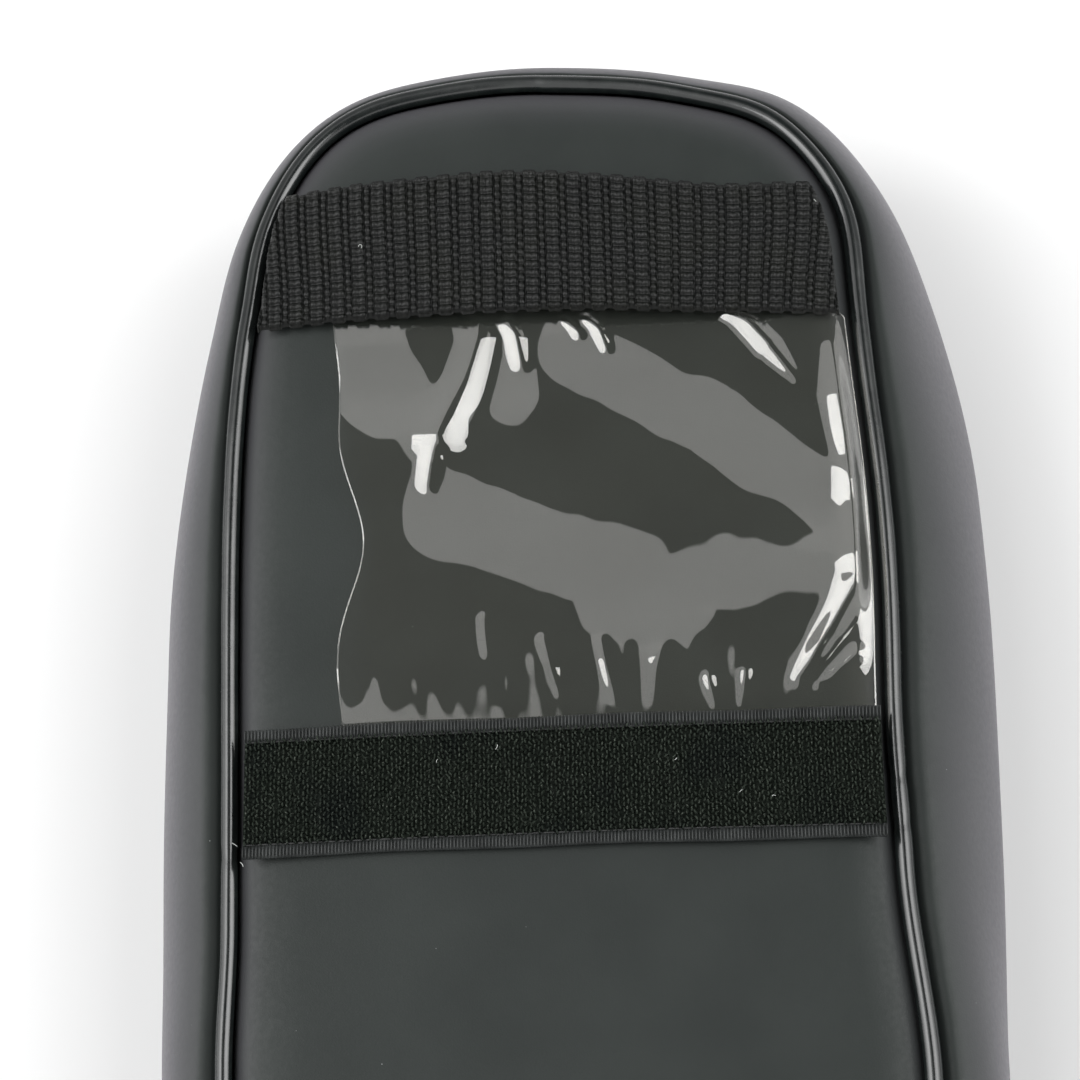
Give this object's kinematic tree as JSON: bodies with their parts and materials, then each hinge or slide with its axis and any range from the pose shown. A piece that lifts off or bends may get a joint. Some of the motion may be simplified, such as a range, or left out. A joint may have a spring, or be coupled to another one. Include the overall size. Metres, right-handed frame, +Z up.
{
  "type": "tank bag",
  "caption": "Soft magnetic motorcycle tank bag with a padded zip-round lid, a clear document pocket, a webbing band and a hook-and-loop strip.",
  "frame": {"origin": "middle of the underside of the base panel, on the plane that rests on the tank", "axes": "+Z up out of the lid, +Y along the bag towards its narrow end, +X across it to the right seen from above with the narrow end away"},
  "size_m": [0.1628, 0.2928, 0.0673],
  "materials": {
    "leatherette": "smooth matt black-green leatherette",
    "underside": "fine-grained non-slip sheet",
    "glossy_vinyl": "glossy black vinyl piping",
    "webbing": "ribbed black webbing",
    "loop_pile": "fuzzy black loop pile with ribbed edges",
    "clear_film": "clear soft vinyl film, glossy and wrinkled",
    "foam": "soft grey padding",
    "stiffener": "plain plastic board",
    "lining": "thin woven lining",
    "nylon": "black nylon zip coil",
    "zip_tape": "black woven zip tape",
    "zinc": "black painted zinc casting",
    "ferrite": "dark sintered magnet"
  },
  "bodies": {
    "base": {"base_panel": "underside", "base_board": "stiffener", "base_lining": "lining", "base_piping": "glossy_vinyl", "base_seam_binding": "lining", "magnet_front_left": "ferrite", "magnet_front_right": "ferrite", "magnet_rear_left": "ferrite", "magnet_rear_right": "ferrite", "lower_gusset": "leatherette", "lower_zip_tape": "zip_tape", "lower_zip_teeth": "nylon", "hinge_lower": "leatherette", "zip_stop_left": "nylon", "zip_stop_right": "nylon"},
    "lid": {"top_panel": "leatherette", "top_foam": "foam", "top_lining": "lining", "top_piping": "glossy_vinyl", "top_seam_binding": "lining", "upper_gusset": "leatherette", "side_lining": "lining", "upper_zip_tape": "zip_tape", "upper_zip_teeth": "nylon", "hinge_upper": "leatherette", "webbing_strap": "webbing", "loop_tape": "loop_pile", "document_window": "clear_film"},
    "zip_slider_left": {"slider_left": "zinc"},
    "zip_slider_right": {"slider_right": "zinc"},
    "zip_pull_left": {"pull_tab_left": "zinc"},
    "zip_pull_right": {"pull_tab_right": "zinc"}
  },
  "joints": [
    {"name": "lid_hinge", "type": "hinge", "parent": "base", "child": "lid", "pos_m": [0, 0.14342, 0.017], "axis": [-1, 0, 0], "range_deg": [0, 100]},
    {"name": "zip_travel_left", "type": "hinge", "parent": "base", "child": "zip_slider_left", "pos_m": [0, -0.043, 0.017], "axis": [0, 0, -1], "range_deg": [0, 30]},
    {"name": "zip_travel_right", "type": "hinge", "parent": "base", "child": "zip_slider_right", "pos_m": [0, -0.043, 0.017], "axis": [0, 0, 1], "range_deg": [0, 30]},
    {"name": "pull_hinge_left", "type": "hinge", "parent": "zip_slider_left", "child": "zip_pull_left", "pos_m": [-0.00702, -0.14488, 0.01642], "axis": [-0.0222, -0.3223, 0.9464], "range_deg": [0, 100]},
    {"name": "pull_hinge_right", "type": "hinge", "parent": "zip_slider_right", "child": "zip_pull_right", "pos_m": [0.00702, -0.14488, 0.01642], "axis": [-0.0222, 0.3223, -0.9464], "range_deg": [0, 100]}
  ]
}
